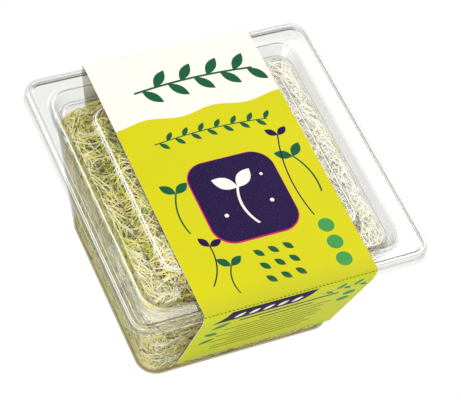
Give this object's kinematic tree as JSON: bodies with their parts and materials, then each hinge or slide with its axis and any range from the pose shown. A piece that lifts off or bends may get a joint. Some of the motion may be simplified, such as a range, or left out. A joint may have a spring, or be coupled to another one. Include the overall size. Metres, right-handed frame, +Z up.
{
  "type": "punnet of alfalfa sprouts",
  "caption": "Closed clear punnet packed with a tangle of alfalfa sprouts, with a press-on clear lid and a folded printed card sleeve. It stands on its flat base.",
  "frame": {"origin": "middle of the base, on the surface it stands on", "axes": "+Z up, the front flap of the sleeve faces -Y, +X to the right as seen from the front"},
  "size_m": [0.1302, 0.132, 0.0753],
  "materials": {
    "tub_plastic": "clear thermoformed sheet, glossy",
    "lid_plastic": "clear thermoformed sheet, glossy",
    "printed_card": "satin print on white board",
    "sprout_tangle": "moist fresh plant, soft sheen"
  },
  "bodies": {
    "root": {"tub": "tub_plastic", "lid": "lid_plastic", "sleeve": "printed_card", "sprouts": "sprout_tangle"}
  },
  "joints": []
}
